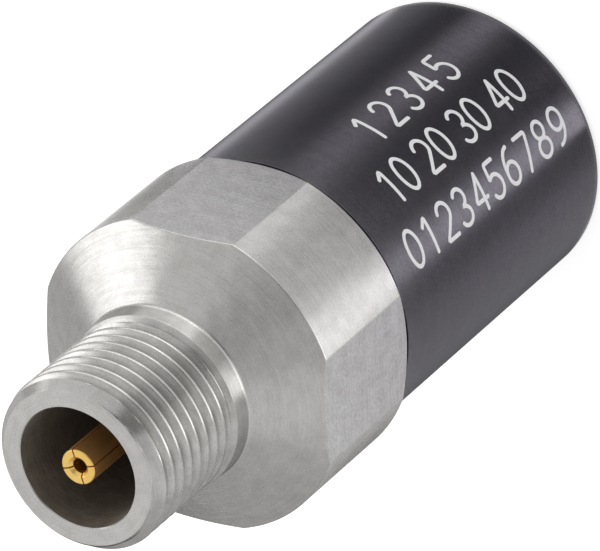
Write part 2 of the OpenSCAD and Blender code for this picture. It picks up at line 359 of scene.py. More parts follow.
def pattern_group(name: str, inputs: list[str], outputs: list[str]) -> tuple[Tree, Node, Node]:
    """Starts a shader node group that turns a position into patterns.

    Args:
        name: Name of the group.
        inputs: Names of the numbers that it takes beside the position.
        outputs: Names of its patterns.

    Returns:
        The group, its input node and its output node.
    """
    group = bpy.data.node_groups.new(name, "ShaderNodeTree")
    group.interface.new_socket(name="Position", in_out="INPUT", socket_type="NodeSocketVector")
    for labels, way in ((inputs, "INPUT"), (outputs, "OUTPUT")):
        for label in labels:
            group.interface.new_socket(name=label, in_out=way, socket_type="NodeSocketFloat")
    return group, group.nodes.new("NodeGroupInput"), group.nodes.new("NodeGroupOutput")


def tool_marks_group() -> Tree:
    """Rings that a lathe tool leaves, from a position on the piece.

    The distance along the surface is taken as z + weight * r, which grows on cylinders, faces and
    cones alike. Noise that is stretched round the axis and short along that distance gives the rings,
    and noise that is stretched only a little gives short dashes.

    Returns:
        The group.
    """
    group, given, out = pattern_group(
        "tool_marks", ["Radius Weight", "Fine Pitch", "Coarse Pitch", "Dash Scale"],
        ["Fine", "Dashes", "Coarse", "Radius"],
    )
    # Cells of noise to the metre, across the axis
    fine_scale, coarse_scale = 260.0, 60.0
    x, y, z = add_node(group, "ShaderNodeSeparateXYZ", {0: given.outputs["Position"]}).outputs
    square = math_node(group, "MULTIPLY_ADD", x, x, math_node(group, "MULTIPLY", y, y))
    radius = math_node(group, "SQRT", square)
    along = math_node(group, "MULTIPLY_ADD", radius, given.outputs["Radius Weight"], z)
    patterns = {"Radius": radius}
    for label, pitch, scale in (
        ("Fine", "Fine Pitch", fine_scale), ("Dashes", "Fine Pitch", given.outputs["Dash Scale"]),
        ("Coarse", "Coarse Pitch", coarse_scale),
    ):
        stretched = [math_node(group, "MULTIPLY", x, scale), math_node(group, "MULTIPLY", y, scale),
                     math_node(group, "DIVIDE", along, given.outputs[pitch])]
        join = add_node(group, "ShaderNodeCombineXYZ", dict(enumerate(stretched)))
        patterns[label] = noise_node(group, join.outputs[0], detail=2.0)
    feed(group, out, patterns)
    return group


def grain_group() -> Tree:
    """Fine speckle and slow unevenness of a metal surface: noise of the position over each one's size.

    Returns:
        The group.
    """
    group, given, out = pattern_group("metal_grain", ["Speckle Size", "Patch Size"], ["Speckle", "Patch"])
    for label in ("Speckle", "Patch"):
        scale = math_node(group, "DIVIDE", 1.0, given.outputs[label + " Size"])
        inputs = {0: given.outputs["Position"], "Scale": scale}
        scaled = add_node(group, "ShaderNodeVectorMath", inputs, operation="SCALE")
        feed(group, out, {label: noise_node(group, scaled.outputs[0], detail=3.0)})
    return group


def new_material(name: str) -> tuple[Material, Tree, Node]:
    """Starts a material, and returns it with its tree and its Principled BSDF."""
    material = bpy.data.materials.new(name)
    material.use_nodes = True
    return material, material.node_tree, material.node_tree.nodes["Principled BSDF"]


def place_group(tree: Tree, group: Tree, values: dict[str, float]) -> Node:
    """Places a pattern group on the piece's Object coordinates.

    Args:
        tree: The material.
        group: The group.
        values: Its other inputs.

    Returns:
        The group's node.
    """
    position = add_node(tree, "ShaderNodeTexCoord", {}).outputs["Object"]
    node = add_node(tree, "ShaderNodeGroup", {}, node_tree=group)
    feed(tree, node, {"Position": position} | values)
    return node


# Finishes

class Lay(Enum):
    """Which way the tool marks of a metal finish run, by the weight of the radius in their spacing."""

    TURNED = 1.7
    MILLED = 0.0


@dataclass(frozen=True)
class MetalFinish:
    """A machined metal, bare, plated or anodised, with tool marks across the lobe of its gloss.

    Attributes:
        shade: Colour in the slightly duller patches.
        roughness_spread: How much the marks change the roughness.
        anisotropy: How much wider the gloss spreads across the marks than along them.
        fine_pitch: Spacing of the fine marks.
        coarse_pitch: Spacing of the coarse marks.
        coarse_height: Height of the coarse marks against that of the fine ones.
        dashes: Share of short marks beside the long ones, in colour and in height.
        fine_share: Share of the fine marks in the colour.
        coarse_share: Share of the coarse marks in the colour.
        grain_share: Share of the grain and the slow unevenness together in the colour.
        patches: Share of the slow unevenness, out of that.
        patch_size: Size of the slow unevenness.
        speckle: Size of the grain.
        groove: Radii between which painted shade in the grooves fades from dark at their bottoms to clear,
            or None.
        painted_groove_shade: Brightness of the painted shade at the grooves' bottoms, against the shade.
    """

    name: str
    colour: Colour
    shade: Colour
    roughness: float = 0.4
    roughness_spread: float = 0.12
    anisotropy: float = 0.7
    lay: Lay = Lay.TURNED
    fine_pitch: float = 0.09
    coarse_pitch: float = 0.35
    mark_height: float = 0.0006
    coarse_height: float = 0.4
    dashes: float = 0.3
    dash_length: float = 0.45
    fine_share: float = 0.8
    coarse_share: float = 0.3
    grain_share: float = 2.6
    patches: float = 1.4
    patch_size: float = 0.8
    speckle: float = 0.09
    groove: tuple[float, float] | None = None
    painted_groove_shade: float = 0.66

    def tint(self, tree: Tree, marks: Node, grain: Node) -> Socket:
        """Colour between the colour and the shade, by the sum of all the patterns, with painted shade
        darkening the bottoms of grooves where groove is set.

        Args:
            tree: The material.
            marks: The tool marks.
            grain: The grain.

        Returns:
            The colour.
        """
        blend = centred_sum(tree, 0.5, [
            (grain.outputs["Speckle"], self.grain_share - self.patches),
            (marks.outputs["Dashes"], self.dashes),
            (marks.outputs["Fine"], self.fine_share),
            (marks.outputs["Coarse"], self.coarse_share),
            (grain.outputs["Patch"], self.patches),
        ])
        tint = mix_colour(tree, blend, self.colour, self.shade)
        # Painted shade: the colour darkens by radius towards the grooves' bottoms, where shade falls in
        # them.
        if self.groove:
            span = (self.groove[0] * MM, self.groove[1] * MM)
            dark = soft_step(tree, marks.outputs["Radius"], span, 1.0, 0.0)
            tint = mix_colour(tree, dark, tint, tuple(self.painted_groove_shade * part for part in self.shade))
        return tint

    def build(self, groups: Groups, on_map: bool = False) -> Material:
        """Makes the material.

        Args:
            groups: The shared node groups by name.
            on_map: Whether the marks run along the piece's map. They go round the axis otherwise.

        Returns:
            The new material.
        """
        material, tree, shader = new_material(self.name)
        marks = place_group(tree, groups["tool_marks"], {
            "Radius Weight": self.lay.value, "Fine Pitch": self.fine_pitch * MM,
            "Coarse Pitch": self.coarse_pitch * MM, "Dash Scale": 1 / (self.dash_length * MM),
        })
        sizes = {"Speckle Size": self.speckle * MM, "Patch Size": self.patch_size * MM}
        grain = place_group(tree, groups["metal_grain"], sizes)
        fine, dashes, coarse = (marks.outputs[name] for name in ("Fine", "Dashes", "Coarse"))
        spread = [(fine, self.roughness_spread), (dashes, self.roughness_spread)]
        heights = [(fine, 1.0), (dashes, self.dashes), (coarse, self.coarse_height)]
        if on_map:
            tangent = add_node(tree, "ShaderNodeTangent", {}, direction_type="UV_MAP", uv_map=SURFACE_MAP)
        else:
            tangent = add_node(tree, "ShaderNodeTangent", {}, direction_type="RADIAL", axis="Z")
        feed(tree, shader, {
            "Base Color": self.tint(tree, marks, grain),
            "Roughness": centred_sum(tree, self.roughness, spread),
            "Normal": bump(tree, centred_sum(tree, 0.0, heights), self.mark_height),
            "Metallic": 1.0,
            "Anisotropic": self.anisotropy,
            "Anisotropic Rotation": QUARTER_TURN,
            "Tangent": tangent.outputs[0],
        })
        return material


@dataclass(frozen=True)
class PlainFinish:
    """A plastic, rubber, ceramic or paint with a fine grain.

    Attributes:
        shade: Colour in the darker grains.
        roughness_spread: How much the grain changes the roughness.
        grain: Size of the grain.
        grain_share: Share of the grain in the colour, the rest of which is slow unevenness.
        unevenness: Size of the slow unevenness against that of the grain.
    """

    name: str
    colour: Colour
    shade: Colour
    roughness: float = 0.5
    roughness_spread: float = 0.15
    grain: float = 0.15
    grain_share: float = 0.4
    grain_height: float = 0.002
    unevenness: float = 10.0

    def build(self, groups: Groups) -> Material:
        """Makes the material.

        Args:
            groups: The shared node groups by name.

        Returns:
            The new material.
        """
        material, tree, shader = new_material(self.name)
        sizes = {"Speckle Size": self.grain * MM, "Patch Size": self.unevenness * self.grain * MM}
        grain = place_group(tree, groups["metal_grain"], sizes)
        speckle, patch = grain.outputs["Speckle"], grain.outputs["Patch"]
        blend = centred_sum(tree, 0.5, [(speckle, self.grain_share), (patch, 1 - self.grain_share)])
        feed(tree, shader, {
            "Base Color": mix_colour(tree, blend, self.colour, self.shade),
            "Roughness": centred_sum(tree, self.roughness, [(speckle, self.roughness_spread)]),
            "Normal": bump(tree, speckle, self.grain_height),
        })
        return material


STEEL = MetalFinish(
    "stainless_steel", (0.59, 0.58, 0.565), (0.455, 0.445, 0.43), roughness=0.26, roughness_spread=0.1,
    anisotropy=0.6, mark_height=0.004)
STEEL_FLAT = MetalFinish(
    "stainless_steel_milled", (0.62, 0.61, 0.61), (0.43, 0.42, 0.42), roughness=0.37, roughness_spread=0.2,
    anisotropy=0.1, lay=Lay.MILLED, fine_pitch=0.11, coarse_pitch=0.5, mark_height=0.007, dashes=1.9,
    dash_length=0.2)
# Painted shade: the bore's steel is darker and browner than the steel outside, for the shade deep in the
# bore.
STEEL_BORE_PAINTED_SHADE = MetalFinish(
    "stainless_steel_bore_painted_shade", (0.298, 0.265, 0.22), (0.195, 0.167, 0.138), roughness=0.85, anisotropy=0.4,
    dashes=0.8)
# Thread steel; its grooves get painted shade, darker towards their bottoms between the radii 4.15 and 4.6.
STEEL_THREAD_WITH_PAINTED_SHADE = MetalFinish(
    "stainless_steel_thread_with_painted_groove_shade", (0.625, 0.615, 0.6), (0.435, 0.425, 0.41), roughness=0.28,
    roughness_spread=0.1, anisotropy=0.6, mark_height=0.0008, groove=(4.15, 4.6))
STEEL_COLLAR = MetalFinish(
    "stainless_steel_collar", (0.615, 0.605, 0.59), (0.43, 0.42, 0.405), roughness=0.31, anisotropy=0.88,
    mark_height=0.006)
STEEL_INSIDE = MetalFinish("inner_steel", STEEL.colour, STEEL.shade)
GOLD = MetalFinish(
    "contact_gold", (0.94, 0.66, 0.22), (0.88, 0.57, 0.15), roughness=0.34, anisotropy=0.0,
    fine_pitch=0.03, coarse_pitch=0.2, mark_height=0.0003, speckle=0.08)
# Rougher gold of the contact's side in the bore; its deeper orange colour is painted reflection of the gold
# and the bore round it.
GOLD_BARREL_PAINTED_REFLECTION = MetalFinish(
    "contact_gold_barrel_painted_reflection", (0.98, 0.575, 0.225), (0.95, 0.505, 0.175), roughness=0.48, anisotropy=0.35)
PLATED = MetalFinish("gold_plated_brass", (0.9, 0.62, 0.24), (0.8, 0.54, 0.2), roughness=0.35)
BRASS = MetalFinish("bare_brass", (0.78, 0.6, 0.3), (0.66, 0.5, 0.25))
SPRING = MetalFinish("spring_steel", (0.36, 0.37, 0.4), (0.26, 0.27, 0.31), roughness=0.38)
SHEET = MetalFinish("bare_aluminium", (0.8, 0.8, 0.81), (0.7, 0.7, 0.72), roughness=0.42, anisotropy=0.3)
ANODISED = MetalFinish(
    "black_anodised", (0.144, 0.139, 0.152), (0.08, 0.077, 0.086), roughness=0.25, roughness_spread=0.06,
    anisotropy=0.0, fine_pitch=0.08, mark_height=0.003, speckle=0.08, patches=0.5)
ANODISED_PLUG = MetalFinish("plug_black", ANODISED.colour, ANODISED.shade, anisotropy=0.4)
BEAD = PlainFinish("bead_plastic", (0.3, 0.22, 0.14), (0.22, 0.16, 0.1))
CERAMIC = PlainFinish("resistor_ceramic", (0.2, 0.18, 0.17), (0.14, 0.13, 0.12), roughness=0.45)
SEAL = PlainFinish("seal_rubber", (0.03, 0.03, 0.03), (0.02, 0.02, 0.02), roughness=0.6)
PAD = PlainFinish("pad_rubber", (0.42, 0.1, 0.07), (0.34, 0.08, 0.05), roughness=0.7)
MARKING = PlainFinish(
    "white_marking", (0.9, 0.9, 0.91), (0.8, 0.8, 0.82), roughness=0.6, grain=0.08, grain_height=0.004)


# The pieces

@dataclass
class Thread:
    """The nose's screw thread: flat crests, 60 degree grooves and flat roots, right-handed.

    Attributes:
        root_r: Radius of the roots and of the front ring.
        crest_flat: Width of the flat on a crest.
        flank: Angle between a groove's flank and a plane square to the axis.
        first_crest: Depth of a crest at the angle crest_angle.
        crest_angle: Angle at which first_crest was measured.
        fade_start: Depth from which the crests get lower.
        fade: Loss of crest radius for each millimetre beyond fade_start.
        end: Depth at which the wall of the collar cuts the thread off.
        softness: Rounding of the crest and root edges.
        bend: Distances of the grid's rows from an edge of a crest or root.
    """

    crest_r: float = 4.71
    root_r: float = 4.185
    pitch: float = 0.79375
    crest_flat: float = 0.17
    flank: float = 30.0
    first_crest: float = 1.23
    crest_angle: float = -43.6
    fade_start: float = 6.45
    fade: float = 0.45
    end: float = 6.88
    softness: float = 0.07
    bend: tuple[float, ...] = (-0.03, -0.01, 0.01, 0.03, 0.07)

    @property
    def height(self) -> float:
        """Height of the crests above the roots."""
        return self.crest_r - self.root_r

    @property
    def start(self) -> float:
        """Depth of a crest at the angle 0."""
        return self.first_crest + self.pitch * self.crest_angle / 360

    def offsets(self) -> np.ndarray:
        """Distances of the grid's rows from a crest, over one pitch.

        Returns:
            The distances, close together where the outline bends.
        """
        crest_edge = self.crest_flat / 2
        root_edge = crest_edge + self.height * np.tan(np.radians(self.flank))
        bend = np.array(self.bend)
        half = np.concatenate([crest_edge + bend, [(crest_edge + root_edge) / 2], root_edge - bend[::-1]])
        return np.concatenate([[0.0], half, [self.pitch / 2], self.pitch - half[::-1]])

    def radius(self, depth: np.ndarray, from_crest: np.ndarray) -> np.ndarray:
        """Radius of the threaded nose.

        With w the distance from the nearest crest, the groove's depth is (|w| - flat/2) / tan 30,
        held between 0 and the full depth by soft corners. The nose is also cut by the 45 degree
        front chamfer, and its last crest is lower than the others.

        Args:
            depth: Depth of each point behind the front face.
            from_crest: Distance of each point from a crest along the axis.

        Returns:
            The radius at each point.
        """
        near = np.abs((from_crest + self.pitch / 2) % self.pitch - self.pitch / 2)
        drop = (near - self.crest_flat / 2) / np.tan(np.radians(self.flank))
        drop = 0.5 * (drop + np.hypot(drop, self.softness))
        left = self.height - drop
        drop = self.height - 0.5 * (left + np.hypot(left, self.softness))
        chamfer = self.root_r + np.maximum(depth, 0)
        low_crest = self.crest_r - self.fade * np.maximum(depth - self.fade_start, 0)
        return np.minimum(np.minimum(self.crest_r - drop, chamfer), low_crest)

    def end_radius(self, angles: np.ndarray) -> np.ndarray:
        """Radius at which the thread meets the collar's wall, at each angle."""
        from_crest = self.end - self.start + self.pitch * angles / 360
        return self.radius(np.full_like(angles, self.end), from_crest)

    def grid(self, angles: np.ndarray) -> np.ndarray:
        """Rows that follow the helix, held between the front face and the collar's wall.

        A row that starts at the depth d0 has the depth d0 - pitch * angle / 360 further round, so
        its end meets the start of the row one pitch before it. The rows reach a few turns past both
        ends, where they lie flat on the front face and the wall.

        Args:
            angles: Angles of the columns, from 0 to 360.

        Returns:
            Points of shape (rows, columns, 3).
        """
        turns = np.arange(-3, int(self.end / self.pitch) + 3)
        row = (turns[:, None] * self.pitch + self.offsets()[None]).reshape(-1, 1)
        depth = self.start + row - self.pitch * angles[None] / 360
        held = np.clip(depth, 0, self.end)
        return polar(self.radius(held, row + held - depth), held, angles[None])


@dataclass
class ConnectorBody:
    """Turned steel body: threaded nose, collar, cone, wrench head, spigot and tail.

    The head's flats lie where the frame has the body's side, and head_rise is how much further out its
    round parts are. flat_tolerance and bore_tolerance are for telling the faces apart.
    """

    thread: Thread
    collar_at: float = 7.05
    collar_r: float = 4.79
    collar_end: float = 8.11
    fillet: float = 0.14
    cone_slope: float = 30.0
    head_rise: float = 0.5
    head_len: float = 18.0
    head_chamfer: float = 0.55
    bore_r: float = 3.25
    bore_break: float = 0.05
    spigot_r: float = 6.6
    spigot_end: float = 23.0
    groove_half: float = 0.6
    tail_r: float = 6.0
    chamber_r: float = 4.6
    even_columns: int = 150
    beside_edge: tuple[float, ...] = (-0.9, -0.25, 0, 0.25, 0.9)
    flat_blend: float = 0.012
    flat_tolerance: float = 0.004
    bore_tolerance: float = 0.01

    @property
    def flat_r(self) -> float:
        """Distance of the wrench flats from the axis, from the frame."""
        return outer_radius("connector_body")

    @property
    def head_r(self) -> float:
        """Radius of the wrench head's round parts."""
        return self.flat_r + self.head_rise

    def angles(self) -> np.ndarray:
        """Angles of the columns.

        Returns:
            Even steps from 0 to 360, with more of them close to each edge of a flat.
        """
        edge = np.degrees(np.arccos(self.flat_r / self.head_r))
        edges = [quarter + side * edge for quarter in (0, 90, 180, 270, 360) for side in (-1, 1)]
        close = (np.array(edges)[:, None] + np.array(self.beside_edge)).ravel()
        even = np.linspace(0, 360, self.even_columns + 1)
        return np.unique(np.round(np.concatenate([even, close[(close > 0) & (close < 360)]]), 4))

    def head_radius(self, angles: np.ndarray) -> np.ndarray:
        """Radius of the wrench head: the lesser of the round and flat / max(|cos a|, |sin a|).

        Args:
            angles: Angles of the columns.

        Returns:
            The radius at each angle, with the edges between round and flat a little blended.
        """
        turn = np.radians(angles)
        flat = self.flat_r / np.maximum(np.abs(np.cos(turn)), np.abs(np.sin(turn)))
        return 0.5 * (flat + self.head_r - np.hypot(flat - self.head_r, self.flat_blend))

    def turned(self, angles: np.ndarray) -> np.ndarray:
        """Outline behind the thread, over the head and back through the bore to the front ring.

        The cone's outer edge lies where the cone meets the head's own radius at each angle, so it
        curves forward over each flat.

        Args:
            angles: Angles of the columns.

        Returns:
            Radius and depth of each point, of shape (points, columns, 2).
        """
        head = self.head_radius(angles)
        cone_end = self.collar_end + (head - self.collar_r) * np.tan(np.radians(self.cone_slope))
        back_r = self.head_r - self.head_chamfer
        seal_front, seal_rear = end_depths("body_seal")
        groove_r = outer_radius("body_seal") - (seal_rear - seal_front) - SEAL_GAP
        groove_mid = (seal_front + seal_rear) / 2
        groove_at, groove_end = groove_mid - self.groove_half, groove_mid + self.groove_half
        tail_end = end_depths("connector_body")[1]
        seat_at, seat_end = end_depths("bead_ring")
        seat_r = outer_radius("bead_ring") + SCREW_GAP
        return outline([
            (self.thread.end_radius(angles), self.thread.end, 0), (self.collar_r, self.collar_at, 0.035),
            (self.collar_r, self.collar_end, self.fillet), (head, cone_end, 0.05),
            (head, self.head_len - (head - back_r), 0.04), (back_r, self.head_len, 0.03),
            (self.spigot_r, self.head_len, 0), (self.spigot_r, groove_at, 0), (groove_r, groove_at, 0),
            (groove_r, groove_end, 0), (self.spigot_r, groove_end, 0), (self.spigot_r, self.spigot_end, 0.1),
            (self.tail_r, self.spigot_end, 0), (self.tail_r, tail_end, 0.1), (self.chamber_r, tail_end, 0),
            (self.chamber_r, seat_end, 0), (seat_r, seat_end, 0), (seat_r, seat_at, 0),
            (self.bore_r, seat_at, 0), (self.bore_r, self.bore_break, 0),
            (self.bore_r + self.bore_break, 0, 0), (self.thread.root_r, 0, 0),
        ], len(angles))

    def build(self, steels: list[Material]) -> Piece:
        """Makes the body and gives the flats and the collar their own finish, the thread its finish with
        painted shade in its grooves, and the bore a darker steel as painted shade.

        Args:
            steels: Materials of the turned faces, the flats, the bore (a darker steel as painted shade), the
                thread (with painted shade in its grooves) and the collar.

        Returns:
            The new piece.
        """
        angles = self.angles()
        shell = Shell()
        shell.add_grid(self.thread.grid(angles))
        shell.add_turned(self.turned(angles), angles)
        piece = shell.build("threaded_body", steels)
        radius, depth, across = face_places(piece)
        on_flat = np.abs(across - self.flat_r) < self.flat_tolerance
        on_flat &= (depth > self.collar_end) & (depth < self.head_len)
        # Faces in the bore get the darker steel of painted shade, and the thread's faces its painted groove
        # shade.
        in_bore = radius < self.bore_r + self.bore_tolerance
        on_thread = (depth > self.thread.height) & (depth < self.thread.end) & ~in_bore
        on_collar = (depth > self.thread.end) & (depth < self.collar_end - self.fillet) & ~in_bore
        set_materials(piece, 1 * on_flat + 2 * in_bore + 3 * on_thread + 4 * on_collar)
        return place(piece, "connector_body")


@dataclass
class CentreContact:
    """Gold-plated contact: four fingers with a countersunk socket, on a rod with a neck and a stub.

    The rod starts where the slots end, and the fingers reach back into it by lap.
    """

    rod_r: float = 0.94
    socket_r: float = 0.38
    lead: float = 0.17
    tip_break: float = 0.04
    slot_w: float = 0.08
    slot_len: float = 4.5
    socket_depth: float = 5.5
    slot_turn: float = 18.0
    neck_r: float = 0.7
    stub_r: float = 0.5
    lap: float = 0.05
    finger_columns: int = 17
    rod_columns: int = 73

    @property
    def tip(self) -> float:
        """Depth of the contact's tip, from the frame."""
        return end_depths("centre_contact")[0]

    def fingers(self, shell: Shell) -> None:
        """Adds the four fingers.

        A finger's section is a closed outline in radius and depth. It is carried from one slot wall
        to the next, and at the radius r a wall of the slot lies asin(slot / 2r) from the slot's middle.

        Args:
            shell: The mesh that takes them.
        """
        end = self.tip + self.slot_len + self.lap
        section = outline([
            (self.socket_r, end, 0), (self.socket_r, self.tip + self.lead, 0.03),
            (self.socket_r + self.lead, self.tip, 0.03), (self.rod_r - self.tip_break, self.tip, 0.02),
            (self.rod_r, self.tip + self.tip_break, 0.02), (self.rod_r, end, 0),
        ], steps=4, guard=0.01)[:, 0]
        section = np.concatenate([section, section[:1]])
        across = np.degrees(np.arcsin(self.slot_w / 2 / section[:, :1]))
        share = np.linspace(0, 1, self.finger_columns)[None]
        for quarter in range(4):
            angle = self.slot_turn + 90 * quarter + across + share * (90 - 2 * across)
            points = polar(section[:, :1], section[:, 1:], angle)
            shell.add_grid(points)
            shell.add_cap(points[:-1, 0])
            shell.add_cap(points[:-1, -1])

    def rod(self, shell: Shell) -> None:
        """Adds the rod behind the slots, with the socket's floor, the neck and the stub.

        Args:
            shell: The mesh that takes it.
        """
        neck_at, neck_end = end_depths("support_bead")
        back = end_depths("centre_contact")[1]
        top, floor = self.tip + self.slot_len, self.tip + self.socket_depth
        profile = outline([
            (0, floor, 0), (self.socket_r, floor, 0), (self.socket_r, top, 0), (self.rod_r, top, 0),
            (self.rod_r, neck_at, 0), (self.neck_r, neck_at, 0), (self.neck_r, neck_end, 0),
            (self.stub_r, neck_end, 0), (self.stub_r, back, 0), (0, back, 0),
        ])
        shell.add_turned(profile, np.linspace(0, 360, self.rod_columns))

    def build(self, gold: Material, barrel: Material) -> Piece:
        """Makes the contact.

        Args:
            gold: Material of the tip.
            barrel: Rougher gold, from behind the tip's rim, with a deeper orange colour as painted
                reflection.

        Returns:
            The new piece.
        """
        shell = Shell()
        self.fingers(shell)
        self.rod(shell)
        piece = shell.build("socket_contact", [gold, barrel])
        radius, depth, _ = face_places(piece)
        # Faces behind the tip's rim get the rougher gold with painted reflection.
        set_materials(piece, (depth > self.tip + self.tip_break) & (radius > self.socket_r + self.lead))
        return place(piece, "centre_contact")


@dataclass
class Sleeve:
    """Black sleeve from the head's rear face to the rim that the load stands on.

    It is stepped back by gap_depth over gap_w where it meets the head, which leaves a dark joint line.
    """

    gap_w: float = 0.14
    gap_depth: float = 0.3
    seal_land: float = 2.25
    screw_r: float = 6.62
    rear_chamfer: float = 0.3
    edge: float = 0.05
    columns: int = 181

    @property
    def radius(self) -> float:
        """Outer radius, from the frame."""
        return outer_radius("sleeve")

    def build(self, black: Material) -> Piece:
        """Makes the sleeve as one turned outline.

        Args:
            black: Its material.

        Returns:
            The new piece.
        """
        front = end_depths("sleeve")[0]
        screw_at = front + self.seal_land
        seal_r = outer_radius("body_seal") + SEAL_GAP
        step_r, step_end = self.radius - self.gap_depth, front + self.gap_w
        plug_r, plug_at = outer_radius("end_plug") + SCREW_GAP, end_depths("end_plug")[0]
        profile = outline([
            (seal_r, screw_at, 0), (seal_r, front, 0), (step_r, front, 0), (step_r, step_end, 0),
            (self.radius, step_end, 0.02), (self.radius, LENGTH - self.rear_chamfer, self.edge),
            (self.radius - self.rear_chamfer, LENGTH, self.edge), (plug_r, LENGTH, self.edge),
            (plug_r, plug_at, 0), (self.screw_r, plug_at, 0), (self.screw_r, screw_at, 0),
            (seal_r, screw_at, 0),
        ])
        shell = Shell()
        shell.add_turned(profile, np.linspace(0, 360, self.columns))
        return place(shell.build("black_sleeve", [black]), "sleeve")


def arc(cx: float, cy: float, rx: float, ry: float, start: float, end: float) -> np.ndarray:
    """Part of an ellipse: x = cx + rx cos a, y = cy + ry sin a.

    Args:
        cx: Middle, across.
        cy: Middle, upwards.
        rx: Radius across.
        ry: Radius upwards.
        start: Angle of the first point.
        end: Angle of the last point.

    Returns:
        Points of shape (points, 2).
    """
    step, fewest = 12, 4
    turn = np.radians(np.linspace(start, end, max(fewest, int(abs(end - start) / step) + 1)))
    return np.stack([cx + rx * np.cos(turn), cy + ry * np.sin(turn)], -1)


def path(*parts: tuple[float, float] | np.ndarray) -> np.ndarray:
    """Joins points and arcs into one stroke of a digit of height 1.

    A corner is rounded where the stroke turns so much that its directions on the corner's two sides
    have a dot product below 0.8.

    Args:
        *parts: The points and arcs.

    Returns:
        Evenly spaced points of the stroke.
    """
    corner, spacing, fewest = 0.09, 0.04, 3
    line = np.concatenate([np.atleast_2d(np.array(part, float)) for part in parts])
    way = np.diff(line, axis=0)
    length = np.linalg.norm(way, axis=1)
    sharp = (way[1:] * way[:-1]).sum(1) < 0.8 * length[1:] * length[:-1]
    line = round_corners(line[:, None], [0, *(corner * sharp), 0], 6, 0.001)[:, 0]
    run = np.concatenate([[0], np.cumsum(np.linalg.norm(np.diff(line, axis=0), axis=1))])
    even = np.linspace(0, run[-1], max(fewest, int(run[-1] / spacing)))
    return np.stack([np.interp(even, run, line[:, k]) for k in (0, 1)], -1)


DIGITS = {
    "0": [path(arc(0.3, 0.5, 0.3, 0.5, 90, 450))],
    "1": [path((0.1, 0.78), (0.34, 1.0), (0.34, 0.0))],
    "2": [path(arc(0.3, 0.71, 0.29, 0.29, 165, -35), (0.0, 0.0), (0.6, 0.0))],
    "3": [path(arc(0.29, 0.75, 0.26, 0.25, 150, -90), arc(0.29, 0.25, 0.3, 0.25, 90, -150))],
    "4": [path((0.45, 1.0), (0.0, 0.28), (0.62, 0.28)), path((0.45, 1.0), (0.45, 0.0))],
    "5": [path((0.55, 1.0), (0.1, 1.0), (0.04, 0.54), arc(0.28, 0.32, 0.31, 0.32, 125, -145))],
    "6": [path(arc(0.5, 0.42, 0.49, 0.58, 95, 185)), path(arc(0.3, 0.3, 0.29, 0.3, 180, 540))],
    "7": [path((0.0, 1.0), (0.6, 1.0), (0.2, 0.0))],
    "8": [path(arc(0.3, 0.76, 0.25, 0.24, -90, 270)), path(arc(0.3, 0.26, 0.3, 0.26, 90, 450))],
    "9": [path(arc(0.1, 0.58, 0.49, 0.58, -85, 5)), path(arc(0.3, 0.7, 0.29, 0.3, 0, 360))],
}


@dataclass(frozen=True)
class ScaleRow:
    """One row of plain numbers along the sleeve.

    Attributes:
        text: Digits and spaces.
        start: Depth of the row's start.
        pitch: Distance from one digit to the next.
        base_angle: Angle of the row's baseline about the axis.
        gap: Width of a space.
    """

    text: str
    start: float
    pitch: float
    base_angle: float
    gap: float = 0.65


@dataclass
class Numerals:
    """Plain numbers painted on the sleeve, in rows.

    Attributes:
        wall_r: Radius of the sleeve.
        width: Width of a digit against its height.
        stroke: Width of a stroke.
        proud: How far the paint stands out of the wall.
        level_step: How much further out the second stroke of a digit stands.
        sunk: How far the paint reaches into the wall.
        cap_angles: Angles about a stroke's end at which its rounding has points, from the tip back.
    """

    wall_r: float
    height: float = 1.94
    width: float = 0.9
    stroke: float = 0.22
    proud: float = 0.006
    level_step: float = 0.001
    sunk: float = 0.05
    cap_angles: tuple[float, ...] = (89, 70, 45, 20)

    def ribbon(self, shell: Shell, line: np.ndarray, level: int) -> None:
        """Adds one stroke as a thin closed strip bent round the sleeve.

        The strip's half width is stroke / 2 along the line, and sqrt((stroke / 2)^2 - d^2) at the
        distance d beyond each end, which rounds the ends. A stroke that ends where it started is
        left without ends.

        Args:
            shell: The mesh that takes the strip.
            line: Points of the stroke, with x along the axis and y round the sleeve.
            level: Number of the stroke, which sets strokes that cross a hair apart.
        """
        half = self.stroke / 2
        loop = np.allclose(line[0], line[-1])
        way = np.gradient(line, axis=0)
        if loop:
            way[0] = way[-1] = line[1] - line[-2]
        way /= np.linalg.norm(way, axis=1, keepdims=True)
        width = np.full(len(line), half)
        if not loop:
            bend = np.radians(self.cap_angles)
            over = half * np.sin(bend)[:, None]
            line = np.concatenate([line[0] - way[0] * over, line, line[-1] + way[-1] * over[::-1]])
            width = np.concatenate([half * np.cos(bend), width, half * np.cos(bend[::-1])])
            ends = len(bend)
            way = np.concatenate([np.repeat(way[:1], ends, 0), way, np.repeat(way[-1:], ends, 0)])
        side = np.stack([-way[:, 1], way[:, 0]], -1) * width[:, None]
        across = np.array([-1, -1, 0, 1, 1, -1])
        top = self.proud + self.level_step * level
        lift = np.array([-self.sunk, top, top, top, -self.sunk, -self.sunk])
        flat = line[:, None] + side[:, None] * across[None, :, None]
        points = polar(self.wall_r + lift[None], flat[..., 0], np.degrees(flat[..., 1] / self.wall_r))
        shell.add_grid(points)
        if not loop:
            shell.add_cap(points[0, :-1])
            shell.add_cap(points[-1, :-1])

    def row(self, shell: Shell, scale: ScaleRow) -> None:
        """Adds a row of digits.

        Args:
            shell: The mesh that takes them.
            scale: The row.
        """
        size = np.array([self.height * self.width, self.height])
        corner = np.array([scale.start, np.radians(scale.base_angle) * self.wall_r])
        for digit in scale.text:
            for level, stroke in enumerate(DIGITS.get(digit, [])):
                self.ribbon(shell, stroke * size + corner, level)
            corner[0] += scale.gap if digit == " " else scale.pitch

    def build(self, rows: list[ScaleRow], white: Material) -> Piece:
        """Makes all the rows as one piece.

        Args:
            rows: The rows.
            white: Their material.

        Returns:
            The new piece.
        """
        shell = Shell()
        for scale in rows:
            self.row(shell, scale)
        return place(shell.build("sleeve_numerals", [white], sharp=40.0))


